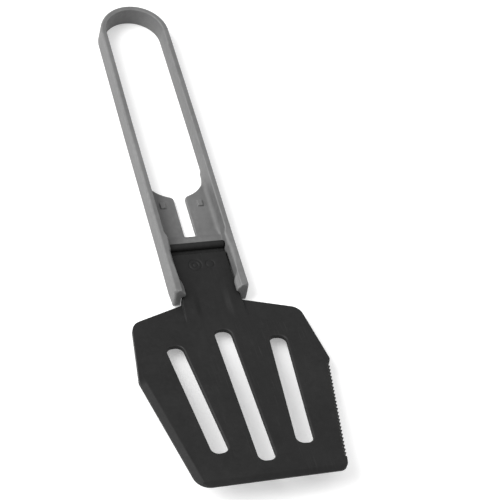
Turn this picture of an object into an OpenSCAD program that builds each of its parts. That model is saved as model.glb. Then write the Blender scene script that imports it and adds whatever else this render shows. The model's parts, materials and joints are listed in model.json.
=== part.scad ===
// Folding camp-kitchen turner: a black slotted blade that hinges in a grey loop handle.
// Frame: +Y runs from the blade to the loop, +Z up, the rails' lower edges lie on z = 0,
// and the origin is the middle of the whole footprint. Millimetres.
// Every module is drawn about the hinge (y = 0 on the hinge axis) and then moved by in_frame().

/* [Handle strap] */
// Height of the strap, which stands on edge
strap_h = 9; // [8:0.25:10]
// Thickness of the strap along the grip
strap_t = 2.5; // [2:0.05:2.7]
// Thickness of the rails beside the neck
foot_t = 2.5; // [2.3:0.05:2.7]
// Half the handle's width at the hinge
hinge_half = 15.35; // [15.2:0.05:16]
// Half the handle's width at the middle of the grip
grip_half = 15.45; // [15.2:0.05:16]
// Half the handle's width where the loop begins, which is also the loop's outer radius
loop_r = 15.15; // [14.8:0.05:16]
// Half the handle's width at the rails' open ends
end_half = 15.5; // [14.9:0.05:15.7]
// Distance from the hinge axis to the centre of the loop's bend
loop_y = 114.8; // [100:0.1:130]
// Distance from the hinge axis to the upper corners of the rails' open ends
rail_reach = 24; // [22:0.5:24.5]
// How far the rails' rounded ends stand out below those corners
foot_nose = 1.6; // [0:0.1:1.8]

/* [Web between the rails] */
// Thickness of the web
web_t = 1.8; // [1.4:0.1:2]
// Width of the slot that lets the rails spring apart
web_slot_w = 5; // [4.6:0.1:6]
// Distance from the hinge axis to the slot's closed end
web_slot_y = 7.2; // [6.5:0.1:9]
// Distance from the hinge axis to the web's free edge beside the slot
web_edge_y = 27.6; // [24:0.5:34]
// Slope of the web's free edge, rising to the rail
web_slope = 22; // [10:1:30]
// Radius that blends the web's free edge into the rail
web_blend_r = 12; // [8:0.5:14]
// Height of the cross bar behind the hinge barrel
bar_h = 4.2; // [3:0.1:4.3]
// Gap between the cross bar and the barrel
bar_gap = 0.4; // [0.3:0.05:0.6]
// How far the stop shelf runs forward under the neck
shelf_reach = 9; // [5:0.5:16]
// Width of the small raised pad on each half of the web
pad_w = 2.2; // [1.6:0.1:2.6]
// Length of a web pad
pad_len = 3; // [2:0.1:3.6]
// How far a web pad stands above the web
pad_h = 0.7; // [0.3:0.1:1]
// Distance from the middle of the handle to a web pad's centre
pad_x = 8; // [7:0.1:8.6]
// Distance from the hinge axis to a web pad's centre
pad_y = 23.7; // [20:0.1:24.5]

/* [Hinge] */
// Height of the hinge axis above the rails' lower edges
axis_z = 4.7; // [4.6:0.05:4.9]
// Radius of the barrel across the neck
barrel_r = 1.6; // [1.4:0.05:1.7]
// Radius of the trunnions at the barrel's ends
trunnion_r = 1.2; // [1:0.05:1.3]
// How far each trunnion stands out of the barrel's end
trunnion_len = 2.4; // [1.8:0.1:2.5]
// Radial running clearance of a trunnion in its socket
socket_gap = 0.05; // [0.02:0.01:0.1]
// Distance from the middle of the handle to a boss's inner face
boss_x = 11.9; // [11.8:0.05:12.2]
// Half the length of a boss's inner face
boss_half = 2.7; // [2.4:0.1:4]
// Length of the ramp at each side of a boss
boss_ramp = 2.8; // [2:0.1:4]

/* [Snap lips] */
// Distance from the middle of the handle to a lip's tip, sprung clear of the neck
lip_x = 11.8; // [11.75:0.05:12.2]
// Depth of a lip, down from the rail's upper edge
lip_h = 2.4; // [1.5:0.1:2.8]
// Length of a lip along the rail
lip_len = 8; // [6:0.5:9]
// Length of the ramp where a lip begins
lip_ramp = 3.4; // [2:0.1:4]

/* [Neck] */
// Half the neck's width between the rails
neck_half = 11.4; // [11:0.05:11.45]
// Half the neck's width where it meets the blade
neck_root_half = 12.9; // [12:0.1:13.2]
// Height of the neck's flat top above the rails' lower edges
neck_top = 4.9; // [4.6:0.05:5]
// Height of the neck's underside above the rails' lower edges
neck_under = 2.2; // [2.2:0.05:2.6]
// Distance from the hinge axis to where the neck's middle begins to dip
dip_start = 20; // [16:0.5:22]
// Distance from the hinge axis to the bottom of the dip
dip_end = 30; // [27:0.5:32]
// Distance from the middle to the inner face of a gusset
gusset_x = 6.4; // [5:0.1:8]

/* [Blade] */
// Angle at which the blade rises away from the handle
pitch = 7.6; // [7.5:0.1:8.4]
// Thickness of the blade
blade_t = 2.2; // [1.8:0.1:2.2]
// Distance from the hinge axis to the front edge, along the blade
blade_reach = 115.7; // [112:0.5:125]
// Half the blade's width at its widest
blade_half = 38.9; // [37:0.1:42]
// Distance from the hinge axis to the widest place
widest_y = 62.6; // [60:0.1:64]
// Half the blade's width at the front edge
front_half = 29; // [27:0.1:32]
// Distance from the hinge axis to the blade's rear edge, under the neck
rear_y = 25.2; // [25:0.1:26]
// Distance from the middle line to a shoulder's corner
shoulder_x = 34.8; // [33:0.1:36]
// Distance from the hinge axis to the shoulders' corners
shoulder_y = 34.6; // [32:0.1:36]
// Radius of the shoulders
shoulder_r = 5.5; // [3:0.5:7]
// Radius of the front corner at the scraping edge
scraper_corner_r = 6.5; // [3:0.5:8]
// Radius of the front corner at the serrated edge
serrated_corner_r = 3.2; // [2:0.1:4]

/* [Edges] */
// Thickness left at a bevelled edge
edge_t = 0.8; // [0.5:0.1:1.2]
// Width of the scraping edge's bevel
scraper_w = 2.4; // [1.6:0.1:3]
// Width of the front edge's bevel
front_bevel_w = 1.8; // [1:0.1:2.5]
// Number of teeth along the serrated edge
tooth_count = 26; // [20:1:30]
// Depth of the teeth
tooth_depth = 0.75; // [0.4:0.05:1.2]
// Width of the serrated strip
serrated_w = 3.6; // [2.6:0.1:4.4]

/* [Slots] */
// Width of each slot
slot_w = 6.9; // [6:0.1:7.5]
// Corner radius at the slots' ends
slot_r = 2.9; // [2:0.1:3]
// Distance from the hinge axis to the middle slot's rear end
mid_slot_rear = 42.1; // [40:0.1:48]
// Distance from the hinge axis to the middle slot's front end
mid_slot_front = 107.7; // [98:0.1:108]
// Distance from the hinge axis to the side slots' rear ends
side_slot_rear = 48.1; // [46:0.1:54]
// Distance from the hinge axis to the side slots' front ends
side_slot_front = 101.8; // [94:0.1:104]
// Distance from the middle line to a side slot's centre
side_slot_x = 19; // [18:0.1:20]
// Angle by which the side slots close in towards the front edge
side_slot_tilt = 5; // [3:0.5:6]

/* [Hidden] */
$fn = 64;
// Sides of the arcs that round an outline's corners
arc_steps = 8;
// Distances from the hinge axis to where the rails begin to thin, to where they have the grip's
// thickness, and to the middle of the grip
foot_y = 8;
strap_y = 24;
grip_y = 60;
// Radius of the web's corners at the slot's mouth
slot_mouth_r = 1.8;
// Back of the recess that the barrel turns in
recess_y = barrel_r + bar_gap;
// The hinge's place that puts the origin in the middle of the footprint
front_reach = blade_reach * cos(pitch) + blade_t * sin(pitch);
hinge_y = (front_reach - loop_y - loop_r) / 2;
// Half the distance between the sockets' blind ends, with an end gap for each trunnion
trunnion_end_gap = 0.3;
socket_x = neck_half + trunnion_len + trunnion_end_gap;
// The neck steps out by this much, this far past the rails' ends
flare_step = 0.7;
flare_gap = 0.8;
// The blade's rear corners beside the neck, and the radius inside them
root_step = 0.2;
root_len = 2.2;
root_r = 1.2;
// Radius of the blade's widest corners
widest_r = 3;
// The front corner of the serrated edge stands out this much further than the other one
front_skew = 0.15;
// The scraping edge starts this far in front of the widest place
scraper_step = 0.8;
// The serrated edge steps in from the widest corner, and stops short of the front corner
serrated_step = [1.1, 2.1];
serrated_stop = [1, 5];
// How far the tip of a tooth lies along its pitch
tooth_lean = 0.35;
// Ends of the blade's straight edges
front_left = [-front_half, -blade_reach];
front_right = [front_half + front_skew, -blade_reach];
scraper_start = [-blade_half, -widest_y - scraper_step];
serrated_start = [blade_half - serrated_step.x, -widest_y - serrated_step.y];
serrated_end = [front_half + serrated_stop.x, -blade_reach + serrated_stop.y];
// How far the cutting blocks of the bevels run past the edges they cut
cut_past = 20;
grey = [0.50, 0.50, 0.50];
black = [0.13, 0.13, 0.13];

// ---- helpers ----

// Points of the arc of radius r that rounds corner b between a and c
function corner(a, b, c, r) =
    let (u = (a - b) / norm(a - b))
    let (w = (c - b) / norm(c - b))
    let (half = acos(u * w) / 2)
    let (centre = b + (u + w) / norm(u + w) * r / sin(half))
    let (from = b + u * r / tan(half) - centre)
    let (to = b + w * r / tan(half) - centre)
    let (a0 = atan2(from.y, from.x))
    let (turn = (atan2(to.y, to.x) - a0 + 540) % 360 - 180)
    [for (i = [0:arc_steps])
        centre + r * [cos(a0 + turn * i / arc_steps), sin(a0 + turn * i / arc_steps)]];

// An outline given as [x, y, radius] rows, with each corner rounded to its radius
function rounded(rows) =
    let (n = len(rows))
    let (p = [for (row = rows) [row.x, row.y]])
    [for (i = [0:n - 1])
        each rows[i].z == 0 ? [p[i]] : corner(p[(i + n - 1) % n], p[i], p[(i + 1) % n], rows[i].z)];

// Where the rails' rounded ends lie at height z
function rail_end(z) = -rail_reach - foot_nose * (1 - (z / strap_h) * (z / strap_h));

// Inner face of the right rail at distance y from the hinge axis
function rail_inner(y) = lookup(y, [
    [rail_end(0), end_half - foot_t],
    [foot_y, hinge_half - foot_t],
    [strap_y, grip_half - strap_t],
    [grip_y, grip_half - strap_t],
    [loop_y, loop_r - strap_t]]);

module in_frame() {
    translate([0, hinge_y, 0])
        children();
}

// Blade coordinates: y = 0 on the hinge axis, forward is -y, z = 0 on the upper face
module on_blade() {
    rotate([-pitch, 0, 0])
        children();
}

// Solid of a side outline in (y, z), across the width from x0 to x1
module across(x0, x1) {
    translate([x0, 0, 0])
        rotate([90, 0, 90])
            linear_extrude(x1 - x0)
                children();
}

// ---- handle moulding ----

module grip_loop() {
    color(grey)
        in_frame()
            translate([0, loop_y, 0])
                rotate_extrude(angle = 180)
                    translate([loop_r - strap_t, 0])
                        square([strap_t, strap_h]);
}

module rail(side) {
    color(grey)
        in_frame()
            difference() {
                linear_extrude(strap_h)
                    polygon([for (p = [
                        [end_half, rail_end(0)],
                        [hinge_half, 0],
                        [grip_half, grip_y],
                        [loop_r, loop_y],
                        [rail_inner(loop_y), loop_y],
                        [rail_inner(grip_y), grip_y],
                        [rail_inner(strap_y), strap_y],
                        [rail_inner(foot_y), foot_y],
                        [rail_inner(rail_end(0)), rail_end(0)]]) [side * p.x, p.y]]);
                end_relief();
                socket();
            }
}

// Block in front of the rails' rounded ends
module end_relief() {
    across(-2 * end_half, 2 * end_half)
        polygon(concat(
            [[rail_end(0) - 1, -1], [rail_end(0), -1]],
            [for (i = [0:arc_steps]) [rail_end(strap_h * i / arc_steps), strap_h * i / arc_steps]],
            [[-rail_reach, strap_h + 1], [rail_end(0) - 1, strap_h + 1]]));
}

module socket() {
    translate([-socket_x, 0, axis_z])
        rotate([0, 90, 0])
            cylinder(r = trunnion_r + socket_gap, h = 2 * socket_x);
}

// One half of the web: a flat leaf from the rail to the central slot
module web_leaf(side) {
    blend_x = rail_inner(strap_y) - web_blend_r;
    slot_x = web_slot_w / 2;
    tangent_x = blend_x + web_blend_r * sin(web_slope);
    tangent_y = web_edge_y + (tangent_x - slot_x) * tan(web_slope);
    blend_y = tangent_y + web_blend_r * cos(web_slope);
    edge = concat(
        [[rail_inner(web_slot_y), web_slot_y], [rail_inner(foot_y), foot_y], [rail_inner(strap_y), strap_y]],
        [for (i = [0:arc_steps])
            let (a = (web_slope - 90) * i / arc_steps)
            [blend_x + web_blend_r * cos(a), blend_y + web_blend_r * sin(a)]],
        corner([tangent_x, tangent_y], [slot_x, web_edge_y], [slot_x, web_slot_y], slot_mouth_r),
        [[slot_x, web_slot_y]]);
    color(grey)
        in_frame()
            linear_extrude(web_t)
                polygon([for (p = edge) [side * p.x, p.y]]);
}

// Small raised pad on the web's upper face
module web_pad(side) {
    color(grey)
        in_frame()
            translate([side * pad_x - pad_w / 2, pad_y - pad_len / 2, web_t])
                cube([pad_w, pad_len, pad_h]);
}

// Ramp that closes the slot and rises to the barrel
module cross_bar() {
    color(grey)
        in_frame()
            across(-rail_inner(boss_half + boss_ramp), rail_inner(boss_half + boss_ramp))
                polygon([[recess_y, 0], [web_slot_y, 0], [web_slot_y, web_t], [recess_y, bar_h]]);
}

// Thin shelf under the barrel and the neck, on which the neck rests when it is open
module stop_shelf() {
    color(grey)
        in_frame()
            linear_extrude(web_t)
                polygon([
                    [-rail_inner(-shelf_reach), -shelf_reach],
                    [rail_inner(-shelf_reach), -shelf_reach],
                    [rail_inner(recess_y), recess_y],
                    [-rail_inner(recess_y), recess_y]]);
}

// Thickened pad on a rail's inner face, with a blind socket for the trunnion
module pivot_boss(side) {
    foot = boss_half + boss_ramp;
    color(grey)
        in_frame()
            difference() {
                linear_extrude(strap_h)
                    polygon([for (p = [
                        [rail_inner(-foot), -foot],
                        [rail_inner(foot), foot],
                        [boss_x, boss_half],
                        [boss_x, -boss_half]]) [side * p.x, p.y]]);
                socket();
                boss_relief();
            }
}

// Room that the shelf and the cross bar take out of the bosses
module boss_relief() {
    across(-hinge_half, hinge_half)
        polygon([[-shelf_reach, -1], [web_slot_y, -1], [web_slot_y, web_t], [recess_y, bar_h],
                 [recess_y, web_t], [-shelf_reach, web_t]]);
}

// Hooked lip on a rail's end that holds the open neck down
module snap_lip(side) {
    color(grey)
        in_frame()
            translate([0, 0, strap_h - lip_h])
                linear_extrude(lip_h)
                    polygon([for (p = [
                        [rail_inner(-rail_reach), -rail_reach],
                        [rail_inner(lip_len - rail_reach), lip_len - rail_reach],
                        [lip_x, lip_len - rail_reach - lip_ramp],
                        [lip_x, -rail_reach]]) [side * p.x, p.y]]);
}

// ---- blade moulding ----

module barrel_core() {
    translate([-neck_half, 0, axis_z])
        rotate([0, 90, 0])
            cylinder(r = barrel_r, h = 2 * neck_half);
}

// The barrel with its two trunnions
module hinge_barrel() {
    color(black)
        in_frame() {
            barrel_core();
            translate([-neck_half - trunnion_len, 0, axis_z])
                rotate([0, 90, 0])
                    cylinder(r = trunnion_r, h = 2 * (neck_half + trunnion_len));
        }
}

// Plan of the neck: parallel between the rails, wider from the rails' ends to the blade
module neck_plan() {
    flare_y = rail_reach + flare_gap;
    root_y = neck_top / sin(pitch);
    half = [
        [neck_half, 0],
        [neck_half, -flare_y],
        [neck_half + flare_step, -flare_y],
        [neck_root_half, -root_y]];
    polygon(concat(half, [for (i = [3:-1:0]) [-half[i].x, half[i].y]]));
}

module neck() {
    dip = dip_end * [-cos(pitch), sin(pitch)];
    rear = rear_y * [-cos(pitch), sin(pitch)];
    heel_y = rear.x + (neck_under - rear.y) * tan(pitch);
    color(black)
        in_frame()
            difference() {
                intersection() {
                    across(-blade_half, blade_half)
                        polygon([[0, neck_top], [-dip_start, neck_top], dip, rear,
                                 [heel_y, neck_under], [0, neck_under]]);
                    linear_extrude(strap_h)
                        neck_plan();
                }
                barrel_core();
            }
}

// Rib that bridges the bend between the neck and the blade
module gusset(side) {
    dip = dip_end * [-cos(pitch), sin(pitch)];
    top = neck_top * [-1 / tan(pitch), 1];
    color(black)
        in_frame()
            intersection() {
                across(min(side * gusset_x, side * blade_half), max(side * gusset_x, side * blade_half))
                    polygon([[-dip_start, neck_top], dip, top]);
                linear_extrude(strap_h)
                    neck_plan();
            }
}

module blade_outline() {
    root = neck_half + flare_step;
    polygon(rounded([
        [root, -rear_y, 0],
        [root + root_step, -rear_y - root_len, root_r],
        [shoulder_x, -shoulder_y, shoulder_r],
        [blade_half, -widest_y, widest_r],
        [serrated_start.x, serrated_start.y, 0],
        [front_right.x, front_right.y, serrated_corner_r],
        [front_left.x, front_left.y, scraper_corner_r],
        [scraper_start.x, scraper_start.y, widest_r],
        [-shoulder_x, -shoulder_y, shoulder_r],
        [-root - root_step, -rear_y - root_len, root_r],
        [-root, -rear_y, 0]]));
}

// Strip of width w along the inner side of the line from p to q
module edge_strip(p, q, w, past) {
    along = (q - p) / norm(q - p);
    inward = [-along.y, along.x];
    polygon([
        p - inward * blade_t,
        q + along * past - inward * blade_t,
        q + along * past + inward * w,
        p + inward * w]);
}

module scraper_strip() {
    edge_strip(scraper_start, front_left, scraper_w, blade_t);
}

module serrated_strip() {
    edge_strip(serrated_end, serrated_start, serrated_w, 0);
}

module slot(rear, front, x, tilt) {
    length = (front - rear) / cos(tilt);
    translate([x, -(rear + front) / 2])
        rotate(tilt)
            polygon(rounded([
                [slot_w / 2, length / 2, slot_r],
                [-slot_w / 2, length / 2, slot_r],
                [-slot_w / 2, -length / 2, slot_r],
                [slot_w / 2, -length / 2, slot_r]]));
}

module side_slots() {
    for (side = [-1, 1])
        slot(side_slot_rear, side_slot_front, side * side_slot_x, -side * side_slot_tilt);
}

// Block above a bevel of width w, on the edge from p to q
module bevel_cut(p, q, w) {
    translate([p.x, p.y, edge_t - blade_t])
        rotate([0, 0, atan2(q.y - p.y, q.x - p.x)])
            rotate([atan((blade_t - edge_t) / w), 0, 0])
                translate([-cut_past, -blade_t, 0])
                    cube([norm(q - p) + 2 * cut_past, 4 * w, 3 * blade_t]);
}

// Full thickness of the blade over a plan outline
module blade_slab() {
    translate([0, 0, -blade_t])
        linear_extrude(blade_t)
            children();
}

module blade_plate() {
    color(black)
        in_frame()
            on_blade()
                difference() {
                    blade_slab()
                        difference() {
                            blade_outline();
                            scraper_strip();
                            serrated_strip();
                            slot(mid_slot_rear, mid_slot_front, 0, 0);
                            side_slots();
                        }
                    bevel_cut(front_left, front_right, front_bevel_w);
                }
}

// Chisel bevel along the left edge
module scraper_edge() {
    color(black)
        in_frame()
            on_blade()
                difference() {
                    blade_slab()
                        intersection() {
                            blade_outline();
                            scraper_strip();
                        }
                    bevel_cut(scraper_start, front_left, scraper_w);
                    bevel_cut(front_left, front_right, front_bevel_w);
                }
}

// Saw teeth along the right edge
module serrated_edge() {
    run = serrated_end - serrated_start;
    outward = [-run.y, run.x] / norm(run);
    color(black)
        in_frame()
            on_blade()
                blade_slab()
                    difference() {
                        intersection() {
                            blade_outline();
                            serrated_strip();
                        }
                        for (i = [0:tooth_count - 1])
                            polygon([
                                serrated_start + run * i / tooth_count + outward,
                                serrated_start + run * (i + tooth_lean) / tooth_count - outward * tooth_depth,
                                serrated_start + run * (i + 1) / tooth_count + outward]);
                    }
}

grip_loop();
rail(-1);  // left_rail
rail(1);  // right_rail
web_leaf(-1);  // left_web
web_leaf(1);  // right_web
web_pad(-1);  // left_web_pad
web_pad(1);  // right_web_pad
cross_bar();
stop_shelf();
pivot_boss(-1);  // left_pivot_boss
pivot_boss(1);  // right_pivot_boss
snap_lip(-1);  // left_snap_lip
snap_lip(1);  // right_snap_lip
hinge_barrel();
neck();
gusset(-1);  // left_gusset
gusset(1);  // right_gusset
blade_plate();
scraper_edge();
serrated_edge();
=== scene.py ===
"""Looks of the folding camp turner: two nylon mouldings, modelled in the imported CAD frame.

Lengths in the shape functions are millimetres. x and z are the row frame's, and y is measured
from the hinge axis, so it is negative towards the blade. Blade coordinates are turned with the
blade: v runs along it as y does, and w is the height over its plane, where its upper face lies.
"""

import json
import math

import bpy
import numpy as np
from mathutils import Matrix, Vector
from mathutils.geometry import delaunay_2d_cdt


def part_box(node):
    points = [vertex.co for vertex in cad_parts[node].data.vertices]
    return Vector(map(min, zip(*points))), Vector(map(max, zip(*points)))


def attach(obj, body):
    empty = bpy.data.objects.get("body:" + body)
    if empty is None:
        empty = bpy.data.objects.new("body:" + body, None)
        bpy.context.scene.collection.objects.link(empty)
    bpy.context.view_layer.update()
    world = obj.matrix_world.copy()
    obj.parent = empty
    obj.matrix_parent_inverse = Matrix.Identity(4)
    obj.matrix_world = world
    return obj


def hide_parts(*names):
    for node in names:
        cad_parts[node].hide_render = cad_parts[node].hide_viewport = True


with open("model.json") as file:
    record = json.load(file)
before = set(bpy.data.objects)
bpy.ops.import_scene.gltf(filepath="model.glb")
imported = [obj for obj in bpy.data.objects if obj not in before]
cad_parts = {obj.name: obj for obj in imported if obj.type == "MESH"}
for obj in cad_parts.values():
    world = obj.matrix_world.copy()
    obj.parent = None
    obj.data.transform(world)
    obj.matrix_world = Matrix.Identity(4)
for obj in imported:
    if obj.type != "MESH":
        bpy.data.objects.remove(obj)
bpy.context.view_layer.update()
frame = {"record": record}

MM = 0.001


def box_mm(node):
    """The lowest and highest corner of a CAD node's box, in millimetres."""
    low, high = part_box(node)
    return Vector(low) / MM, Vector(high) / MM


barrel_low, barrel_high = box_mm("hinge_barrel")
loop_low, loop_high = box_mm("grip_loop")
rail_low, rail_high = box_mm("right_rail")
shelf_low, shelf_high = box_mm("stop_shelf")
pad_low, pad_high = box_mm("right_web_pad")
neck_high = box_mm("neck")[1]

# Hinge
HINGE_Y = (barrel_low.y + barrel_high.y) / 2
AXIS_Z = (barrel_low.z + barrel_high.z) / 2
BARREL_R = (barrel_high.z - barrel_low.z) / 2
TRUNNION_END = barrel_high.x
TRUNNION_R = 1.2
SOCKET_R = 1.25
SOCKET_END = 14.1

# Handle strap
STRAP_H = loop_high.z
STRAP_T = 2.5
LOOP_R = loop_high.x
LOOP_Y = loop_low.y - HINGE_Y
HINGE_HALF = 15.35
GRIP_HALF = 15.45
END_HALF = rail_high.x
GRIP_Y = 60.0
FOOT_NOSE = 1.6
RAIL_REACH = HINGE_Y - rail_low.y - FOOT_NOSE
BOSS_X = 11.9
BOSS_HALF = 2.7
BOSS_RAMP = 2.8
FOOT_SWELL = 0.6

# Radii of the strap's edges: at its ends, along its top, and along its bottom. The EXTRA ones are
# added inside the top beside the barrel, and to the bottom near the rails' ends.
END_OUTER_R, END_INNER_R = 1.1, 0.5
TOP_OUTER_R, TOP_INNER_R, TOP_EXTRA_R = 0.9, 0.45, 0.9
BOTTOM_R, BOTTOM_EXTRA_R = 0.4, 1.3
SOCKET_EDGE_R = 0.15

# Stretches of the handle as (start, length) for forward()
SWELL_RAMP = (1, 4)
TOP_EXTRA_RISE, TOP_EXTRA_FALL = (4, 6), (-9, 5)
BOTTOM_EXTRA_RISE = (-19, 5)

# Web, cross bar and shelf
WEB_T = shelf_high.z
SLOT_HALF = 2.5
SLOT_END = 7.2
WEB_EDGE = 27.6
WEB_SLOPE = math.radians(22)
WEB_BLEND_R = 12.0
WEB_BLEND_Y = 24.0
WEB_EDGE_R = 0.5
MOUTH_R, SLOT_FOOT_R = 1.8, 0.5
BAR_H = 4.2
BAR_FRONT = 0.15
BAR_EDGE_R, BAR_FRONT_R = 0.4, 0.25
BAR_EASE = 0.08
PAD_PLAN_R, PAD_TOP_R, PAD_FILLET_R = 0.3, 0.2, 0.25
WEB_FILLET_R, GRIP_FILLET_R = 0.6, 1.4
GRIP_FILLET_Y, GRIP_FILLET_RAMP = 6, 4
RECESS_Y = shelf_high.y - HINGE_Y
SHELF_Y = shelf_low.y - HINGE_Y

# Snap lips
LIP_TIP = 10.6
LIP_START = -15.2
LIP_RAMP = 4.6
LIP_EASE = 0.32
LIP_TOP_DROP = 1.7
LIP_UNDER = 5.2
LIP_UNDER_RISE = 0.3
LIP_EDGE_R, LIP_UNDER_R, LIP_END_R, LIP_FILLET_R = 0.55, 0.3, 0.5, 0.7
LIP_BURIED, LIP_BEHIND = 0.8, 0.5

# Cosines of the sloping tops of the cross bar and the lips, which turn heights into distances
BAR_SLANT, LIP_SLANT = 0.91, 0.72

# Neck and blade
PITCH = math.radians(7.6)
NECK_HALF = 11.4
NECK_TOP = neck_high.z
NECK_UNDER = 2.2
NECK_FLARE = 24.8
NECK_STEP = 0.7
NECK_ROOT_HALF = 12.9
NECK_WALL_W = 0.3
NECK_FOOT = NECK_TOP / math.sin(PITCH)
DIP_START, DIP_END = 20.3, 30.0
DIP_LEAD, DIP_RAMP = 4, 3
GUSSET_X = 6.4
GUSSET_RAMP = 2.2
GROOVE_DEPTH, GROOVE_V, GROOVE_RAMP = 0.95, -4.3, 0.7
BLADE_T = 2.2
BLADE_HALF = 38.9
FRONT_V = -115.7
REAR_V = -25.2
EDGE_DROP = 1.4
SCRAPER_W = 2.4
FRONT_BEVEL_W = 1.8
BEVEL_EASE = 0.08
BEVEL_LEAD, BEVEL_RAMP = 1, 4
TOOTH_COUNT = 26
TOOTH_DEPTH = 1.2
TOOTH_STEPS = 6
TOOTH_LEAN = 0.78
SLOT_W = 6.9
SLOT_CORNER_R = 2.9
SLOT_X = 19
SLOT_TILT = math.radians(5)
MIDDLE_SLOT = (42.1, 107.7)
SIDE_SLOT = (48.1, 101.8)
OUTLINE_RIM_R, SLOT_RIM_R = 0.22, 0.6
RIM_STEPS = 4
# How much the blade's rounded rim is lightened: partly rubbing, partly a painted highlight.
RIM_WEAR_SHEEN = 1.4
PLAN_STEP = 0.8


# ---- plane geometry ----


def corner(a, b, c, r, steps=8):
    """Points of the arc of radius r that rounds corner b between a and c."""
    a, b, c = (np.array(p, float) for p in (a, b, c))
    u = (a - b) / np.linalg.norm(a - b)
    w = (c - b) / np.linalg.norm(c - b)
    half = math.acos(np.clip(u @ w, -1, 1)) / 2
    middle = b + (u + w) / np.linalg.norm(u + w) * r / math.sin(half)
    start = b + u * r / math.tan(half) - middle
    end = b + w * r / math.tan(half) - middle
    a0 = math.atan2(start[1], start[0])
    turn = (math.atan2(end[1], end[0]) - a0 + math.pi) % math.tau - math.pi
    angles = a0 + turn * np.linspace(0, 1, steps + 1)
    return [middle + r * np.array([math.cos(t), math.sin(t)]) for t in angles]


def rounded(rows, spacing=0.5):
    """A closed outline from (x, y, radius) rows, with each corner rounded to its radius."""
    points = [np.array(row[:2], float) for row in rows]
    made = []
    for i, row in enumerate(rows):
        before, after = points[i - 1], points[(i + 1) % len(rows)]
        if row[2] == 0:
            made.append(points[i])
        else:
            steps = max(3, round(2.2 * row[2] / spacing))
            made += corner(before, points[i], after, row[2], min(steps, 16))
    return made


def subdivided(outline, spacing):
    """The closed outline with points added along its long sides."""
    made = []
    for a, b in zip(outline, np.roll(outline, -1, axis=0)):
        count = max(1, round(np.linalg.norm(b - a) / spacing))
        made += [a + (b - a) * i / count for i in range(count)]
    return np.array(made)


def polygon_distance(points, x, y):
    """Signed distance to a closed outline in the plane, negative inside."""
    points = np.asarray(points, float)
    shape = np.broadcast(x, y).shape
    best = np.full(shape, np.inf)
    inside = np.zeros(shape, bool)
    for a, b in zip(points, np.roll(points, -1, axis=0)):
        ex, ey = b - a
        wx, wy = x - a[0], y - a[1]
        t = np.clip((wx * ex + wy * ey) / (ex * ex + ey * ey), 0, 1)
        best = np.minimum(best, (wx - t * ex) ** 2 + (wy - t * ey) ** 2)
        crosses = (a[1] > y) != (b[1] > y)
        inside ^= crosses & ((wx * ey < wy * ex) == (ey > 0))
    return np.where(inside, -1, 1) * np.sqrt(best)


# ---- distance fields ----


def soft_ramp(t, ease=0.15):
    """0 below t = 0 and 1 above t = 1, straight between them, with both bends eased."""

    def bend(u):
        return np.where(u > ease, u, np.where(u < -ease, 0, (u + ease) ** 2 / (4 * ease)))

    return bend(t) - bend(t - 1)


def forward(y, start, length, ease=0.15):
    """0 behind start and 1 from length in front of it. The front is at lower y."""
    return soft_ramp((start - y) / length, ease)


def soft_max(a, b, sharpness):
    """The larger of a and b, with the bend between them eased."""
    return np.logaddexp(sharpness * a, sharpness * b) / sharpness


def meet(a, b, r):
    """Where both shapes are, with the edge between them rounded to radius r."""
    return np.minimum(np.maximum(a, b), -r) + np.hypot(np.maximum(a + r, 0), np.maximum(b + r, 0))


def join(a, b, r):
    """Where either shape is, with the hollow corner between them filled to radius r."""
    return np.maximum(np.minimum(a, b), r) - np.hypot(np.maximum(r - a, 0), np.maximum(r - b, 0))


# ---- handle ----


def outer_half(y):
    """Half the handle's width at distance y from the hinge axis."""
    stations = [-RAIL_REACH, 0, GRIP_Y, LOOP_Y]
    return np.interp(y, stations, [END_HALF, HINGE_HALF, GRIP_HALF, LOOP_R])


def inner_half(y):
    """Half the clear width between the rails, away from the bosses."""
    return outer_half(y) - STRAP_T


def web_outline():
    """Right half of the web in plan, with the shelf and the foot of the cross bar."""
    past = -5.0  # past the middle, so that the mirror image leaves no edge there
    blend_x = inner_half(WEB_BLEND_Y) - WEB_BLEND_R
    tangent_x = blend_x + WEB_BLEND_R * math.sin(WEB_SLOPE)
    tangent_y = WEB_EDGE + (tangent_x - SLOT_HALF) * math.tan(WEB_SLOPE)
    blend_y = tangent_y + WEB_BLEND_R * math.cos(WEB_SLOPE)
    side = [(inner_half(y), y) for y in (SHELF_Y, 0, WEB_BLEND_Y)]
    arc = [
        (blend_x + WEB_BLEND_R * math.cos(a), blend_y + WEB_BLEND_R * math.sin(a))
        for a in np.linspace(0, WEB_SLOPE - math.pi / 2, 17)
    ]
    top, bottom = (SLOT_HALF, WEB_EDGE), (SLOT_HALF, SLOT_END)
    mouth = corner((tangent_x, tangent_y), top, bottom, MOUTH_R, 10)
    foot = corner(top, bottom, (past, SLOT_END), SLOT_FOOT_R, 4)
    return [(past, SHELF_Y), *side, *arc, *mouth, *foot, (past, SLOT_END)]


WEB_PLAN = web_outline()


def strap_faces(x, y, z):
    """How far a point lies past the strap's outer face, its inner face and its rounded end."""
    bend = y > LOOP_Y
    radius = np.hypot(x, np.maximum(y - LOOP_Y, 0))
    boss = (inner_half(y) - BOSS_X) * forward(np.abs(y), BOSS_HALF + BOSS_RAMP, BOSS_RAMP)
    swell = np.maximum(boss, FOOT_SWELL * forward(y, *SWELL_RAMP))
    outside = np.where(bend, radius - LOOP_R, x - outer_half(y))
    inside = np.where(bend, LOOP_R - STRAP_T - radius, inner_half(y) - swell - x)
    end = -RAIL_REACH - FOOT_NOSE * (1 - np.clip(z / STRAP_H, 0, 1) ** 2) - y
    return outside, inside, end


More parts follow.
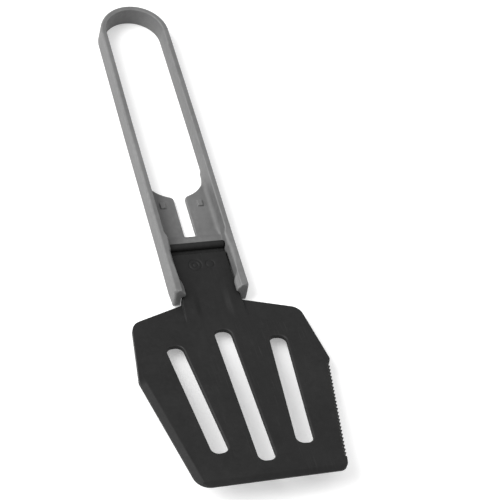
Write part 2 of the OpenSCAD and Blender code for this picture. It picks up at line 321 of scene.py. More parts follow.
def lip_field(x, y, z, end):
    """The snap lip on the rail's inner face: a ramp in plan, under a sloping top."""
    depth = inner_half(y) - x
    reach = (inner_half(y) - LIP_TIP) * forward(y, LIP_START, LIP_RAMP, LIP_EASE)
    top = z - STRAP_H + LIP_TOP_DROP * depth / (inner_half(LIP_START) - LIP_TIP)
    lip = meet(depth - reach, LIP_SLANT * top, LIP_EDGE_R)
    lip = meet(lip, LIP_UNDER + LIP_UNDER_RISE * depth - z, LIP_UNDER_R)
    back = np.maximum(-LIP_BURIED - depth, y - LIP_START - LIP_BEHIND)
    return meet(np.maximum(lip, back), end, LIP_END_R)


def floor_field(x, y, z):
    """The web, with the wedge of the cross bar and the pad on it."""
    plan = polygon_distance(WEB_PLAN, x, y)
    web = meet(plan, z - WEB_T, WEB_EDGE_R)
    rise = WEB_T + (BAR_H - WEB_T) * forward(y, SLOT_END, SLOT_END - RECESS_Y, BAR_EASE)
    bar = meet(BAR_SLANT * (z - rise), RECESS_Y - BAR_FRONT - y, BAR_FRONT_R)
    bar = meet(plan, bar, BAR_EDGE_R)
    pad_x, pad_y = (pad_low.x + pad_high.x) / 2, (pad_low.y + pad_high.y) / 2 - HINGE_Y
    pad_w, pad_len = pad_high.x - pad_low.x, pad_high.y - pad_low.y
    pad = meet(np.abs(x - pad_x) - pad_w / 2, np.abs(y - pad_y) - pad_len / 2, PAD_PLAN_R)
    pad = meet(pad, z - pad_high.z, PAD_TOP_R)
    return join(np.minimum(web, bar), pad, PAD_FILLET_R)


def handle_field(x, y, z):
    """Distance to the handle moulding, negative inside."""
    x = np.abs(x)
    outside, inside, end = strap_faces(x, y, z)
    top = z - STRAP_H
    extra = forward(y, *TOP_EXTRA_RISE) - forward(y, *TOP_EXTRA_FALL)
    outer = meet(meet(outside, end, END_OUTER_R), top, TOP_OUTER_R)
    inner = meet(meet(inside, end, END_INNER_R), top, TOP_INNER_R + TOP_EXTRA_R * extra)
    strap = np.maximum(join(np.maximum(outer, inner), lip_field(x, y, z, end), LIP_FILLET_R), top)

    fillet = WEB_FILLET_R + GRIP_FILLET_R * soft_ramp((y - GRIP_FILLET_Y) / GRIP_FILLET_RAMP)
    solid = join(strap, floor_field(x, y, z), fillet)
    solid = meet(solid, -z, BOTTOM_R)
    rounding = BOTTOM_R + BOTTOM_EXTRA_R * forward(y, *BOTTOM_EXTRA_RISE)
    solid = np.maximum(solid, meet(np.maximum(outside, end), -z, rounding))
    socket = np.maximum(np.hypot(y, z - AXIS_Z) - SOCKET_R, x - SOCKET_END)
    return meet(solid, -socket, SOCKET_EDGE_R)


def gradient(field, points, step=0.02):
    """Gradient of the field at each point."""
    slopes = []
    for axis in range(3):
        ahead, behind = points.copy(), points.copy()
        ahead[:, axis] += step
        behind[:, axis] -= step
        slopes.append((field(*ahead.T) - field(*behind.T)) / (2 * step))
    return np.stack(slopes, axis=1)


def surface_net(field, x, y, z):
    """Points and quads of the field's zero surface on a grid of any shape, and the points' cells.

    Each cell that the surface passes through gets one point, the mean of where the surface cuts
    the cell's edges. Each grid edge that the surface cuts gets the quad of its four cells."""
    value = field(x, y, z)
    place = np.stack(np.broadcast_arrays(x, y, z), axis=-1)
    inside = value < 0
    cells = tuple(n - 1 for n in value.shape)
    total = np.zeros((*cells, 3))
    count = np.zeros(cells)
    for axis in range(3):
        others = [k for k in range(3) if k != axis]
        for shift in ((0, 0), (0, 1), (1, 0), (1, 1)):
            start = [slice(0, cells[k]) for k in range(3)]
            for k, s in zip(others, shift):
                start[k] = slice(s, s + cells[k])
            end = list(start)
            end[axis] = slice(1, None)
            a, b = value[tuple(start)], value[tuple(end)]
            crosses = inside[tuple(start)] != inside[tuple(end)]
            t = np.where(crosses, a / np.where(crosses, a - b, 1), 0)
            points = place[tuple(start)] + t[..., None] * (place[tuple(end)] - place[tuple(start)])
            total += np.where(crosses[..., None], points, 0)
            count += crosses
    used = count > 0
    index = np.full(cells, -1)
    index[used] = np.arange(used.sum())
    quads = []
    for axis in range(3):
        j, k = (axis + 1) % 3, (axis + 2) % 3
        inner = [slice(1, -1)] * 3
        inner[axis] = slice(0, None)
        ahead = list(inner)
        inner[axis], ahead[axis] = slice(0, -1), slice(1, None)
        crosses = inside[tuple(inner)] != inside[tuple(ahead)]
        at = np.argwhere(crosses)
        enters = inside[tuple(ahead)][crosses]
        ring = []
        for dj, dk in ((0, 0), (1, 0), (1, 1), (0, 1)):
            cell = at.copy()
            cell[:, j] += dj
            cell[:, k] += dk
            ring.append(index[tuple(cell.T)])
        ring = np.stack(ring, axis=1)
        quads.append(np.where(enters[:, None], ring[:, ::-1], ring))
    return total[used] / count[used][:, None], np.concatenate(quads), np.argwhere(used)


def spans(*rows):
    """Grid stations from (end, step) rows that follow on from the first row's start."""
    start, made = rows[0], [rows[0]]
    for end, step in rows[1:]:
        count = max(1, round((end - start) / step))
        made += list(start + (end - start) * np.arange(1, count + 1) / count)
        start = end
    return np.array(made)


# The grid's steps: fine round the hinge, long down the straight grip, and in between at the loop
GRID_STEP, GRIP_STEP, LOOP_STEP = 0.3, 1.4, 0.5
FINE_END = 38.0
# Half the grid's width, and how far it runs past the loop's middle
GRID_HALF, MIDDLE_GAP = 16.05, 0.25
# How often the points are moved on to the surface, and how far at most each time
SETTLE_PASSES, SETTLE_MOST = 5, 0.2
# How far round a point the curvature is felt, and the curvature of an edge that is fully rubbed
# down and fully lightened as a painted highlight
WEAR_SHEEN_PROBE, WEAR_SHEEN_FULL = 0.15, 1.8


def handle_grid():
    """Grid over the handle's right half, bent round with the loop, and its length in stations."""
    edge = 1.5 * GRID_STEP
    tip = LOOP_Y + LOOP_R * math.pi / 2
    across = spans(-GRID_STEP / 2, (GRID_HALF, GRID_STEP))
    along = spans(
        -RAIL_REACH - FOOT_NOSE - edge,
        (FINE_END, GRID_STEP),
        (LOOP_Y, GRIP_STEP),
        (tip + MIDDLE_GAP, LOOP_STEP),
    )
    along[-2] = 2 * tip - along[-1]  # so that the mirror plane is midway between the last two
    up = spans(-edge, (STRAP_H + edge, GRID_STEP))
    a, b, z = np.meshgrid(across, along, up, indexing="ij")
    angle = np.maximum(b - LOOP_Y, 0) / LOOP_R
    radius = a * outer_half(b) / GRIP_HALF
    x = radius * np.cos(angle)
    y = np.minimum(b, LOOP_Y) + radius * np.sin(angle)
    return x, y, z, len(along)


def edge_wear_and_sheen(points):
    """How much each point is rubbed down and lightened as a painted highlight, from 0 on flat and
    hollow faces to 1 on the sharpest edges.
    """
    around = sum(
        handle_field(*(points + np.eye(3)[k] * s).T)
        for k in range(3)
        for s in (-WEAR_SHEEN_PROBE, WEAR_SHEEN_PROBE)
    )
    curvature = (around - 6 * handle_field(*points.T)) / WEAR_SHEEN_PROBE**2
    return np.clip(curvature / WEAR_SHEEN_FULL, 0, 1)


def handle_mesh():
    """The handle moulding: a right half on a grid that follows the strap, and its mirror."""
    x, y, z, length = handle_grid()
    points, quads, cells = surface_net(handle_field, x, y, z)
    middle = (cells[:, 0] == 0) | (cells[:, 1] == length - 2)
    points[middle, 0] = 0
    for _ in range(SETTLE_PASSES):
        slope = gradient(handle_field, points)
        steepness = np.maximum((slope**2).sum(1), 0.2)
        step = (handle_field(*points.T) / steepness)[:, None] * slope
        points -= np.clip(step, -SETTLE_MOST, SETTLE_MOST)
        points[middle, 0] = 0
    mirror = np.arange(len(points))
    mirror[~middle] = len(points) + np.arange((~middle).sum())
    both = np.concatenate([points, points[~middle] * (-1, 1, 1)])
    quads = np.concatenate([quads, mirror[quads][:, ::-1]])
    normals = gradient(handle_field, both)
    normals[np.flatnonzero(middle), 0] = 0
    # Edge mask: rubbed edges, and a painted highlight on convex edges, which the material lightens.
    wear_and_sheen = edge_wear_and_sheen(both)
    both[:, 1] += HINGE_Y
    return both, quads, normals, wear_and_sheen


# ---- blade ----


def neck_half(v):
    """Half the neck's width in front of the rails."""
    share = np.clip((-v - NECK_FLARE) / (NECK_FOOT - NECK_FLARE), 0, 1)
    return NECK_HALF + NECK_STEP + (NECK_ROOT_HALF - NECK_HALF - NECK_STEP) * share


SHOULDER = (34.8, -34.6)
WIDEST_V = -62.6
SCRAPER_START = np.array([-BLADE_HALF, WIDEST_V - 0.8])
SCRAPER_END = np.array([-29.0, FRONT_V])
SCRAPER_RUN = (SCRAPER_END - SCRAPER_START) / np.linalg.norm(SCRAPER_END - SCRAPER_START)
SCRAPER_INWARD = np.array([-SCRAPER_RUN[1], SCRAPER_RUN[0]])
SERRATED_START = np.array([BLADE_HALF - 0.9, WIDEST_V - 2.1])
SERRATED_END = np.array([30.2, FRONT_V + 5])


def teeth():
    """The serrated edge from its rear end to its front end, a scoop for each tooth."""
    run = SERRATED_END - SERRATED_START
    outward = np.array([-run[1], run[0]]) / np.linalg.norm(run)
    made = []
    for i in range(TOOTH_COUNT * TOOTH_STEPS + 1):
        share = (i % TOOTH_STEPS / TOOTH_STEPS) ** TOOTH_LEAN
        depth = TOOTH_DEPTH * math.sin(math.pi * share)
        made.append(SERRATED_START + run * i / (TOOTH_COUNT * TOOTH_STEPS) - outward * depth)
    return [(p[0], p[1], 0) for p in made]


def blade_outline():
    """Plan of the whole blade moulding, anticlockwise seen from above. Rows are (x, v, radius)."""
    root = NECK_HALF + NECK_STEP
    right = [
        (NECK_HALF, -0.9, 0.5),
        (NECK_HALF, -24.4, 0.3),
        (root, -24.9, 0.45),
        (root + 0.2, REAR_V - 2.2, 1.2),
        (*SHOULDER, 5.5),
    ]
    left = [(-x, v, r) for x, v, r in reversed(right)]
    front = [
        (BLADE_HALF, WIDEST_V, 3.0),
        *teeth(),
        (29.15, FRONT_V, 3.2),
        (*SCRAPER_END, 6.5),
        (*SCRAPER_START, 3.0),
    ]
    clockwise = rounded([*right, *front, *left])
    return subdivided(np.array(clockwise[::-1]), PLAN_STEP)


def blade_slot(rear, front, x, tilt):
    """Outline of one slot, clockwise, so that the blade lies on its left."""
    length = (front - rear) / math.cos(tilt)
    half = SLOT_W / 2
    box = [(half, length / 2), (half, -length / 2), (-half, -length / 2), (-half, length / 2)]
    points = np.array(rounded([(*p, SLOT_CORNER_R) for p in box]))
    turn = np.array([[math.cos(tilt), math.sin(tilt)], [-math.sin(tilt), math.cos(tilt)]])
    return subdivided(points @ turn + (x, -(rear + front) / 2), PLAN_STEP)


def neck_height(v):
    """Height of the neck's flat top over the blade's plane, in blade coordinates."""
    return (NECK_TOP + v * math.sin(PITCH)) / math.cos(PITCH)


def barrel_groove(v):
    """Depth of the groove across the neck in front of the barrel."""
    return GROOVE_DEPTH * soft_ramp((v - GROOVE_V) / GROOVE_RAMP, 0.3)


# Shallow rings on the neck as (x, v, radius)
RINGS = [(-2.6, -9.8, 2.6), (-2.6, -9.8, 1.1), (3.6, -9.8, 1.7)]
RING_W, RING_DEPTH = 0.3, 0.2


def ring_groove(x, v, ring_x, ring_v, r):
    """Depth of a shallow circular groove of radius r."""
    off = (np.hypot(x - ring_x, v - ring_v) - r) / RING_W
    return RING_DEPTH * np.exp(-off * off)


def neck_surface(x, v):
    """Height of the neck and its gussets over the blade's plane. The dip is between the gussets."""
    side = np.abs(x)
    gusset = soft_max(0, neck_height(v), 9)
    slope = neck_height(-DIP_START) * (v + DIP_END) / (DIP_END - DIP_START)
    lowest = -soft_max(-gusset, -soft_max(0, slope, 5), 4)
    dip = forward(v, DIP_LEAD - DIP_START, DIP_RAMP)
    middle = gusset + (np.maximum(lowest, 0) - gusset) * dip
    across = soft_ramp((side - GUSSET_X + GUSSET_RAMP / 2) / GUSSET_RAMP, 0.2)
    wall = soft_ramp((side - neck_half(v) + NECK_WALL_W / 2) / NECK_WALL_W, 0.45)
    beside = np.where(v < REAR_V + 1, 1 - wall, 1)
    return (middle + (gusset - middle) * across) * beside


def bevel_drop(x, v):
    """Depth of the bevels along the scraping edge and the front edge."""
    off_x, off_v = x - SCRAPER_START[0], v - SCRAPER_START[1]
    along = off_x * SCRAPER_RUN[0] + off_v * SCRAPER_RUN[1]
    inward = off_x * SCRAPER_INWARD[0] + off_v * SCRAPER_INWARD[1]
    scraper = soft_ramp(1 - inward / SCRAPER_W, BEVEL_EASE)
    scraper = scraper * soft_ramp((along + BEVEL_LEAD) / BEVEL_RAMP)
    front = soft_ramp(1 - (v - FRONT_V) / FRONT_BEVEL_W, BEVEL_EASE)
    return EDGE_DROP * np.maximum(scraper * (x < 0), front)


def upper(x, v):
    """Height of the blade moulding's upper face over the blade's plane."""
    height = neck_surface(x, v) - bevel_drop(x, v) - barrel_groove(v)
    for ring in RINGS:
        height = height - ring_groove(x, v, *ring)
    return height


# Ejector marks on the lower face as (x, v)
PIN_MARKS = [(-24, -45), (24, -45), (-22, -98), (20, -98), (0, -38.5), (0, -17)]
PIN_R, PIN_RAMP, PIN_DEPTH = 2.4, 0.25, 0.13


def lower(x, v):
    """Height of the blade moulding's lower face over the blade's plane."""
    neck = (NECK_UNDER + v * math.sin(PITCH)) / math.cos(PITCH)
    step = np.where(v > REAR_V - 3, forward(v, REAR_V, 1, 0.2), 1)
    height = neck + (-BLADE_T - neck) * step
    for pin_x, pin_v in PIN_MARKS:
        off = np.hypot(x - pin_x, v - pin_v)
        height = height + PIN_DEPTH * soft_ramp((PIN_R - off) / PIN_RAMP)
    return height


# The blade's two faces as (side, height)
FACES = ((1, upper), (-1, lower))


def inward_ways(outline):
    """The mitred way into the blade, for each point of an outline that has it on its left."""
    ahead = np.roll(outline, -1, axis=0) - outline
    ahead /= np.linalg.norm(ahead, axis=1)[:, None]
    behind = np.roll(ahead, 1, axis=0)
    n1 = np.stack([-behind[:, 1], behind[:, 0]], axis=1)
    n2 = np.stack([-ahead[:, 1], ahead[:, 0]], axis=1)
    return (n1 + n2) / np.maximum(1 + (n1 * n2).sum(1), 0.5)[:, None]


# Plan points of the blade. Grids are (spacing, x from, x to, v from, v to), and offsets are from
# the line where a face bends.
COARSE_GRID = (2.6, -BLADE_HALF, BLADE_HALF, FRONT_V, 0)
NECK_GRID = (0.8, -13.6, 13.6, -39.5, -16)
GROOVE_ROWS = np.arange(-4.7, -3.2, 0.15)
FLARE_FRONT, GUSSET_REAR = -37.2, -17
FLARE_OFFSETS = (-0.6, -0.3, -0.1, 0.08, 0.25, 0.5, 0.9)
GUSSET_OFFSETS = (-1.5, -1.1, -0.7, 0.7, 1.1, 1.5)
SCRAPER_OFFSETS = (2.1, 2.4, 2.7)
FRONT_OFFSETS = (1.6, 1.8, 2.05)
RING_OFFSETS = (-0.5, -0.3, -0.15, 0, 0.15, 0.3, 0.5)
PIN_RADII = (2.1, 2.2, 2.35, 2.45)
CIRCLE_SIDES = 40
# A point closer than this to a rim is left out, and so is one in the same small cell as another
RIM_CLEARANCE, SAME_PLACE = 0.18, 0.12


def staggered(spacing, x0, x1, v0, v1):
    """Plan points of a triangular grid."""
    made = []
    for i, v in enumerate(np.arange(v0, v1, spacing * math.sqrt(0.75))):
        made += [(x, v) for x in np.arange(x0 + spacing / 2 * (i % 2), x1, spacing)]
    return made


def inner_points(rings):
    """Plan points over the blade away from its edges, closer where its faces curve."""
    made = staggered(*COARSE_GRID) + staggered(*NECK_GRID)
    for v in GROOVE_ROWS:
        made += [(x, v) for x in np.arange(-11, 11.1, 0.8)]
    for v in np.arange(FLARE_FRONT, REAR_V, 0.4):
        for off in FLARE_OFFSETS:
            made += [(s * (float(neck_half(v)) + off), v) for s in (-1, 1)]
    for v in np.arange(FLARE_FRONT, GUSSET_REAR, 0.5):
        for off in GUSSET_OFFSETS:
            made += [(s * (GUSSET_X + off), v) for s in (-1, 1)]
    for share in np.linspace(0, 1, 66):
        at = SCRAPER_START + (SCRAPER_END - SCRAPER_START) * share
        made += [tuple(at + SCRAPER_INWARD * off) for off in SCRAPER_OFFSETS]
    for x in np.arange(-30, 30, 0.9):
        made += [(x, FRONT_V + off) for off in FRONT_OFFSETS]
    circles = [(x, v, r + off) for x, v, r in RINGS for off in RING_OFFSETS]
    circles += [(x, v, r) for x, v in PIN_MARKS for r in PIN_RADII]
    for x, v, r in circles:
        turn = np.arange(0, math.tau, math.tau / CIRCLE_SIDES)
        made += [(x + r * math.cos(t), v + r * math.sin(t)) for t in turn]
    made = np.array(made)
    near = np.full(len(made), -np.inf)
    for ring, sign in rings:
        near = np.maximum(near, sign * polygon_distance(ring, made[:, 0], made[:, 1]))
    made = made[near < -RIM_CLEARANCE]
    keys = np.round(made / SAME_PLACE).astype(int)
    _, first = np.unique(keys, axis=0, return_index=True)
    return made[np.sort(first)]


def twice_area(points, triangles):
    """Twice the area of each triangle in the plane, negative where it is turned clockwise."""
    a, b, c = (points[triangles[:, i]] for i in range(3))
    return (b[:, 0] - a[:, 0]) * (c[:, 1] - a[:, 1]) - (b[:, 1] - a[:, 1]) * (c[:, 0] - a[:, 0])


def inside_rings(points, triangles, fence, rings):
    """Which triangles lie between the rings.

    The fence edges split them into regions, and a region counts by its largest triangle, so that
    no sliver along a straight side is misjudged."""
    fence = {tuple(sorted(e)) for e in fence}
    sides = {}
    for t, (i, j, k) in enumerate(triangles):
        for e in ((i, j), (j, k), (k, i)):
            sides.setdefault(tuple(sorted(e)), []).append(t)
    next_to = [[] for _ in triangles]
    for e, pair in sides.items():
        if len(pair) == 2 and e not in fence:
            next_to[pair[0]].append(pair[1])
            next_to[pair[1]].append(pair[0])
    area = np.abs(twice_area(points, triangles))
    inside = np.zeros(len(triangles), bool)
    seen = np.zeros(len(triangles), bool)
    for first in range(len(triangles)):
        if seen[first]:
            continue
        seen[first] = True
        region, stack = [first], [first]
        while stack:
            for t in next_to[stack.pop()]:
                if not seen[t]:
                    seen[t] = True
                    region.append(t)
                    stack.append(t)
        largest = max(region, key=lambda t: area[t])
        x, v = points[triangles[largest]].mean(axis=0)
        within = all(sign * polygon_distance(ring, x, v) < 0 for ring, sign in rings)
        inside[region] = within and area[largest] > 0.01
    return inside


def face_normals(height, x, v, sign):
    """Unit normals of an upper (sign 1) or lower (sign -1) face in blade coordinates."""
    e = 0.05
    nx = -(height(x + e, v) - height(x - e, v)) / (2 * e)
    nv = -(height(x, v + e) - height(x, v - e)) / (2 * e)
    n = np.stack([nx, nv, np.ones_like(nx)], axis=1) * sign
    return n / np.linalg.norm(n, axis=1)[:, None]


def triangulated(points, fence, rings):
    """Triangles over the plan between the rings, all anticlockwise. The fence edges are kept."""
    vectors = [Vector(p) for p in points]
    _, _, triangles, origins, _, _ = delaunay_2d_cdt(vectors, fence, [], 0, 1e-6)
    triangles = np.array([[origins[i][0] for i in t] for t in triangles])
    triangles = triangles[inside_rings(points, triangles, fence, rings)]
    clockwise = twice_area(points, triangles) < 0
    triangles[clockwise] = triangles[clockwise][:, ::-1]
    return triangles


class Skin:
    """Points in blade coordinates, with a normal and a value each for rubbed edges and their
    painted highlight.
    """

    def __init__(self):
        self.rows = []
        self.count = 0

    def add(self, plan, height, normals, wear_and_sheen):
        """Adds points and says which numbers they get."""
        self.rows.append(np.column_stack([plan, height, normals, wear_and_sheen]))
        self.count += len(plan)
        return range(self.count - len(plan), self.count)


def band(a, b):
    """Quads between two closed rows of points, given by their numbers."""
    ahead = [*range(1, len(a)), 0]
    return [[a[i], a[j], b[j], b[i]] for i, j in enumerate(ahead)]


def add_rim(skin, faces, outline, r):
    """The blade's rim along an outline: a wall whose upper and lower edges have radius r.

    Returns the plan of its innermost row, and that row's numbers above and below."""
    way = inward_ways(outline)
    outward = -way / np.linalg.norm(way, axis=1)[:, None]
    edge = np.concatenate([outward, np.zeros((len(outline), 1))], axis=1)
    outermost, innermost = {}, {}
    for side, height in FACES:
        for k in range(RIM_STEPS + 1):
            phi = math.pi / 2 * k / RIM_STEPS
            at = outline + way * r * (1 - math.cos(phi))
            normals = edge * math.cos(phi) + face_normals(height, *at.T, side) * math.sin(phi)
            # Rounded rim lightened most halfway round: rubbing, and a painted highlight along the
            # edges.
            wear_and_sheen = np.full(len(at), math.cos(phi) ** 0.5 * math.sin(phi) ** 0.5 * RIM_WEAR_SHEEN)
            row = skin.add(at, height(*at.T) - side * r * (1 - math.sin(phi)), normals, wear_and_sheen)
            if k == 0:
                outermost[side] = row
            else:
                faces += band(innermost[side], row) if side > 0 else band(row, innermost[side])
            innermost[side] = row
    faces += band(outermost[-1], outermost[1])
    return at, innermost


def blade_mesh():
    """The blade moulding: rims round its outline and slots, and a triangulated top and bottom."""
    rims = [
        (blade_outline(), OUTLINE_RIM_R, 1),
        (blade_slot(*MIDDLE_SLOT, 0, 0), SLOT_RIM_R, -1),
        (blade_slot(*SIDE_SLOT, SLOT_X, -SLOT_TILT), SLOT_RIM_R, -1),
        (blade_slot(*SIDE_SLOT, -SLOT_X, SLOT_TILT), SLOT_RIM_R, -1),
    ]
    skin, faces, rings, fence = Skin(), [], [], []
    numbers = {1: [], -1: []}
    for outline, r, sign in rims:
        ring, innermost = add_rim(skin, faces, outline, r)
        base = len(numbers[1])
        fence += [(base + i, base + (i + 1) % len(ring)) for i in range(len(ring))]
        rings.append((ring, sign))
        for side, _ in FACES:
            numbers[side] += innermost[side]
    inner = inner_points(rings)
    for side, height in FACES:
        normals = face_normals(height, *inner.T, side)
        numbers[side] += skin.add(inner, height(*inner.T), normals, np.zeros(len(inner)))
    plan = np.concatenate([*(ring for ring, _ in rings), inner])
    triangles = triangulated(plan, fence, rings)
    faces += np.array(numbers[1])[triangles].tolist()
    faces += np.array(numbers[-1])[triangles][:, ::-1].tolist()
    made = np.concatenate(skin.rows)
    return to_row(made[:, :3], HINGE_Y), faces, to_row(made[:, 3:6], 0), made[:, 6]


def to_row(points, shift):
    """Blade coordinates turned to the row frame's, in millimetres."""
    x, v, w = np.asarray(points, float).T
    y = v * math.cos(PITCH) + w * math.sin(PITCH) + shift
    z = -v * math.sin(PITCH) + w * math.cos(PITCH)
    return np.stack([x, y, z], axis=1)


BARREL_EDGE_R = 0.12
BARREL_SIDES = 40


def turned_edge(x, r):
    """Profile points (x, radius) of a rounded outer edge at the end of a turned cylinder."""
    turn = np.linspace(0, math.pi / 2, 5)
    return [
        (x - BARREL_EDGE_R * (1 - math.cos(t)), r - BARREL_EDGE_R * (1 - math.sin(t))) for t in turn
    ]


def barrel_mesh():
    """The barrel and its trunnions, turned about the hinge axis."""
    half = [
        *turned_edge(TRUNNION_END, TRUNNION_R),
        (NECK_HALF, TRUNNION_R),
        *turned_edge(NECK_HALF, BARREL_R),
    ]
    points, rows, faces = [], [], []
    for x, r in half + [(-x, r) for x, r in reversed(half)]:
        rows.append(range(len(points), len(points) + BARREL_SIDES))
        for t in range(BARREL_SIDES):
            a = math.tau * t / BARREL_SIDES
            points.append((x, HINGE_Y + r * math.cos(a), AXIS_Z + r * math.sin(a)))
    for before, after in zip(rows, rows[1:]):
        faces += band(after, before)
    faces += [list(rows[0]), list(rows[-1])[::-1]]
    return np.array(points), faces


# ---- pieces ----


def piece(name, points, faces, body, material, nodes, normals=None, wear_and_sheen=None):
    """Makes one shown piece from millimetre points, and ties it to its CAD body."""
    mesh = bpy.data.meshes.new(name)
    mesh.from_pydata((np.asarray(points) * MM).tolist(), [], [list(map(int, f)) for f in faces])
    mesh.validate()
    mesh.polygons.foreach_set("use_smooth", [True] * len(mesh.polygons))
    # Edge mask for the material: rubbed edges, and a painted highlight on them.
    if wear_and_sheen is not None:
        layer = mesh.attributes.new("wear_and_sheen", "FLOAT", "POINT")
        layer.data.foreach_set("value", np.asarray(wear_and_sheen, np.float32))
    if normals is not None:
        normals = normals / np.maximum(np.linalg.norm(normals, axis=1), 1e-9)[:, None]
        mesh.normals_split_custom_set_from_vertices(normals.tolist())
    obj = bpy.data.objects.new(name, mesh)
    bpy.context.scene.collection.objects.link(obj)
    mesh.materials.append(material)
    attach(obj, body)
    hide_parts(*nodes)
    return obj


# ---- materials ----


class Shader:
    """A node material with a Principled surface, built by short calls."""

    def __init__(self, name):
        self.material = bpy.data.materials.new(name)
        self.material.use_nodes = True
        self.nodes = self.material.node_tree.nodes
        self.links = self.material.node_tree.links
        self.surface = self.nodes["Principled BSDF"]
        self.place = self.nodes.new("ShaderNodeTexCoord").outputs["Object"]

    def put(self, kind, **inputs):
        """Adds a node and sets or links its inputs. An underscore stands for a space."""
        node = self.nodes.new(kind)
        for name, value in inputs.items():
            self.plug(node.inputs[name.replace("_", " ")], value)
        return node

    def plug(self, socket, value):
        if isinstance(value, bpy.types.NodeSocket):
            self.links.new(value, socket)
        else:
            socket.default_value = value

    def noise(self, scale, detail=2.0, stretch=None, turn=(0, 0, 0)):
        """Noise in the piece's own coordinates. The scale is in cells per metre."""
        place = self.place
        if stretch:
            mapping = self.put("ShaderNodeMapping", Vector=place, Rotation=turn, Scale=stretch)
            place = mapping.outputs["Vector"]
        node = self.put("ShaderNodeTexNoise", Vector=place, Scale=scale, Detail=detail)
        node.inputs["Roughness"].default_value = 0.55
        return node.outputs["Fac"]

    def span(self, value, low, high, to_low, to_high):
        """value's range low to high, spread over to_low to to_high and held there."""
        limits = {"From_Min": low, "From_Max": high, "To_Min": to_low, "To_Max": to_high}
        return self.put("ShaderNodeMapRange", Value=value, **limits).outputs["Result"]

    def math(self, operation, a, b):
        node = self.nodes.new("ShaderNodeMath")
        node.operation = operation
        self.plug(node.inputs[0], a)
        self.plug(node.inputs[1], b)
        return node.outputs[0]

    def mix(self, share, a, b):
        node = self.nodes.new("ShaderNodeMix")
        node.data_type = "RGBA"
        self.plug(node.inputs["Factor"], share)
        self.plug(node.inputs["A"], a)
        self.plug(node.inputs["B"], b)
        return node.outputs["Result"]

    def bump(self, height, distance, strength, under=None):
        node = self.put("ShaderNodeBump", Height=height, Distance=distance, Strength=strength)
        if under is not None:
            self.links.new(under, node.inputs["Normal"])
        return node.outputs["Normal"]


def grey(value):
    return (value, value, value, 1)


def moulded_nylon(name, dark, base, light, worn_and_sheen, rough, gloss):
    """Spark-eroded moulded nylon: fine grain, flow marks, soft mottling, and edges rubbed smooth
    and painted lighter, partly for that rubbing and partly as a painted highlight.

    dark, base and light are grey levels of the body, the fourth grey is that of rubbed edges with a
    painted highlight on them, and rough is the lowest and highest roughness."""
    s = Shader(name)
    mottle = s.noise(70, 4)
    speckle = s.noise(520, 3)
    flow = s.noise(1, 3, stretch=(300, 34, 300))
    grain = s.noise(2100, 2)
    fine = s.noise(5200, 1)
    cloud = s.math("ADD", s.math("MULTIPLY", mottle, 0.65), s.math("MULTIPLY", speckle, 0.35))
    tone = s.mix(s.span(cloud, 0.36, 0.64, 0, 1), grey(dark), grey(light))
    tone = s.mix(s.span(flow, 0.42, 0.72, 0, 0.6), tone, grey(base))
    # Edges are lightened towards the fourth grey: partly rubbing, partly a painted highlight on the
    # rounded edges.
    edge = s.nodes.new("ShaderNodeAttribute")
    edge.attribute_name = "wear_and_sheen"
    rub_and_sheen = s.math("MULTIPLY", edge.outputs["Fac"], s.span(s.noise(420, 3), 0.3, 0.62, 0.25, 1))
    tone = s.mix(s.math("MULTIPLY", rub_and_sheen, 0.75), tone, grey(worn_and_sheen))
    s.plug(s.surface.inputs["Base Color"], tone)
    uneven = s.math("ADD", mottle, s.math("MULTIPLY", grain, 0.5))
    roughness = s.span(uneven, 0.5, 1.0, *rough)
    roughness = s.math("SUBTRACT", roughness, s.math("MULTIPLY", rub_and_sheen, 0.08))
    s.plug(s.surface.inputs["Roughness"], roughness)
    s.surface.inputs["Specular IOR Level"].default_value = gloss
    skin = s.bump(grain, 0.00005, 0.6)
    skin = s.bump(fine, 0.00002, 0.5, skin)
    skin = s.bump(speckle, 0.0001, 0.35, skin)
    skin = s.bump(mottle, 0.0006, 0.3, skin)
    s.plug(s.surface.inputs["Normal"], skin)
    return s


def scratches(s, tone, light):
    """Fine straight scuffs from use, in two directions."""
    for turn in (0.35, -0.6):
        streak = s.noise(1, 2, stretch=(2600, 45, 400), turn=(0, 0, turn))
        patch = s.span(s.noise(45, 2), 0.46, 0.62, 0, 1)
        mark = s.math("MULTIPLY", s.span(streak, 0.64, 0.70, 0, 0.36), patch)
        tone = s.mix(mark, tone, grey(light))
    return tone


def handle_material():
    """Grey nylon."""
    return moulded_nylon(
        "handle_nylon_moulded",
        dark=0.094,
        base=0.114,
        light=0.138,
        worn_and_sheen=0.172,
        rough=(0.46, 0.68),
        gloss=0.4,
    ).material


def blade_material():
    """Black nylon, with broad darker patches and fine scuffs."""
    dark = 0.0045
    s = moulded_nylon(
        "blade_nylon_moulded",
        dark=dark,
        base=0.0070,
        light=0.0115,
        worn_and_sheen=0.020,
        rough=(0.50, 0.72),
        gloss=0.26,
    )
    tone = s.surface.inputs["Base Color"].links[0].from_socket
    tone = s.mix(s.span(s.noise(22, 1), 0.45, 0.65, 0, 0.4), tone, grey(dark))
    s.plug(s.surface.inputs["Base Color"], scratches(s, tone, 0.026))
    return s.material


# ---- stage ----

# Places are in metres, angles in degrees and the lens in millimetres
FLOOR_HALF = 3.0
FLOOR_DROP = 0.0001
FLOOR_GLOW = 0.28
SKY_LOW, SKY_HIGH = 0.40, 1.02
CAMERA_AZIMUTH, CAMERA_ELEVATION, CAMERA_ROLL = -29.43, 50.88, 18.40
CAMERA_PLACE = (-0.222835, -0.445642, 0.617170)
CAMERA_LENS = 139.5


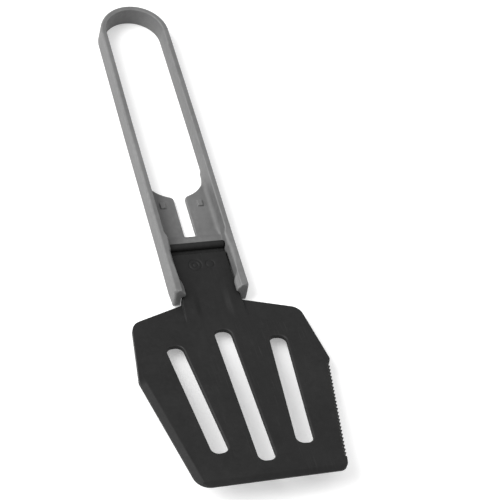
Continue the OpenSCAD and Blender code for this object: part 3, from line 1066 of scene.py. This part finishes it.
def make_floor():
    """A pale floor that glows faintly, as a light table does."""
    half = FLOOR_HALF
    mesh = bpy.data.meshes.new("floor")
    corners = [(-half, -half, 0), (half, -half, 0), (half, half, 0), (-half, half, 0)]
    mesh.from_pydata(corners, [], [(0, 1, 2, 3)])
    floor = bpy.data.objects.new("floor", mesh)
    bpy.context.scene.collection.objects.link(floor)
    floor.location.z = -FLOOR_DROP
    s = Shader("floor_pale")
    paper = s.noise(6, 3)
    s.plug(s.surface.inputs["Base Color"], s.mix(paper, grey(0.80), grey(0.84)))
    s.surface.inputs["Roughness"].default_value = 0.9
    s.surface.inputs["Specular IOR Level"].default_value = 0.1
    s.surface.inputs["Emission Color"].default_value = grey(1)
    s.surface.inputs["Emission Strength"].default_value = FLOOR_GLOW
    mesh.materials.append(s.material)


def soft_sun(name, direction, strength, spread):
    """A large soft light: spread is its width in degrees, seen from the object."""
    light = bpy.data.lights.new(name, "SUN")
    light.energy = strength
    light.angle = math.radians(spread)
    lamp = bpy.data.objects.new(name, light)
    bpy.context.scene.collection.objects.link(lamp)
    lamp.rotation_mode = "QUATERNION"
    lamp.rotation_quaternion = Vector(direction).to_track_quat("Z", "Y")


def make_lights():
    """An even sky, brighter overhead, and one large soft light from the left."""
    world = bpy.data.worlds.new("studio")
    world.use_nodes = True
    nodes, links = world.node_tree.nodes, world.node_tree.links
    way = nodes.new("ShaderNodeTexCoord")
    split = nodes.new("ShaderNodeSeparateXYZ")
    links.new(way.outputs["Generated"], split.inputs["Vector"])
    sky = nodes.new("ShaderNodeMapRange")
    links.new(split.outputs["Z"], sky.inputs["Value"])
    sky.inputs["To Min"].default_value = SKY_LOW
    sky.inputs["To Max"].default_value = SKY_HIGH
    links.new(sky.outputs["Result"], nodes["Background"].inputs["Strength"])
    nodes["Background"].inputs["Color"].default_value = grey(1)
    bpy.context.scene.world = world
    soft_sun("key", (-0.80, 0.12, 0.70), 3.55, 46)


def make_camera():
    """The photograph's view: from the front left, above, rolled so that the handle leans left."""
    azimuth = math.radians(CAMERA_AZIMUTH)
    elevation = math.radians(CAMERA_ELEVATION)
    roll = math.radians(CAMERA_ROLL)
    data = bpy.data.cameras.new("camera")
    data.lens = CAMERA_LENS
    camera = bpy.data.objects.new("camera", data)
    bpy.context.scene.collection.objects.link(camera)
    level = math.cos(elevation)
    back = Vector((math.sin(azimuth) * level, -math.cos(azimuth) * level, math.sin(elevation)))
    right = Vector((math.cos(azimuth), math.sin(azimuth), 0))
    up = back.cross(right)
    leaned = right * math.cos(roll) + up * math.sin(roll)
    turn = Matrix((leaned, back.cross(leaned), back)).transposed()
    camera.location = CAMERA_PLACE
    camera.rotation_mode = "QUATERNION"
    camera.rotation_quaternion = turn.to_quaternion()
    data.clip_start, data.clip_end = 0.05, 20
    bpy.context.scene.camera = camera


bpy.context.scene.view_settings.view_transform = "Standard"

handle_look = handle_material()
blade_look = blade_material()
bodies = frame["record"]["behaviour"]["bodies"]

points, faces, normals, wear_and_sheen = handle_mesh()
piece(
    "handle_moulding",
    points,
    faces,
    "handle",
    handle_look,
    bodies["handle"],
    normals,
    wear_and_sheen,
)

points, faces, normals, wear_and_sheen = blade_mesh()
piece(
    "blade_moulding",
    points,
    faces,
    "blade",
    blade_look,
    [node for node in bodies["blade"] if node != "hinge_barrel"],
    normals,
    wear_and_sheen,
)

points, faces = barrel_mesh()
piece("blade_barrel", points, faces, "blade", blade_look, ["hinge_barrel"])

make_floor()
make_lights()
make_camera()
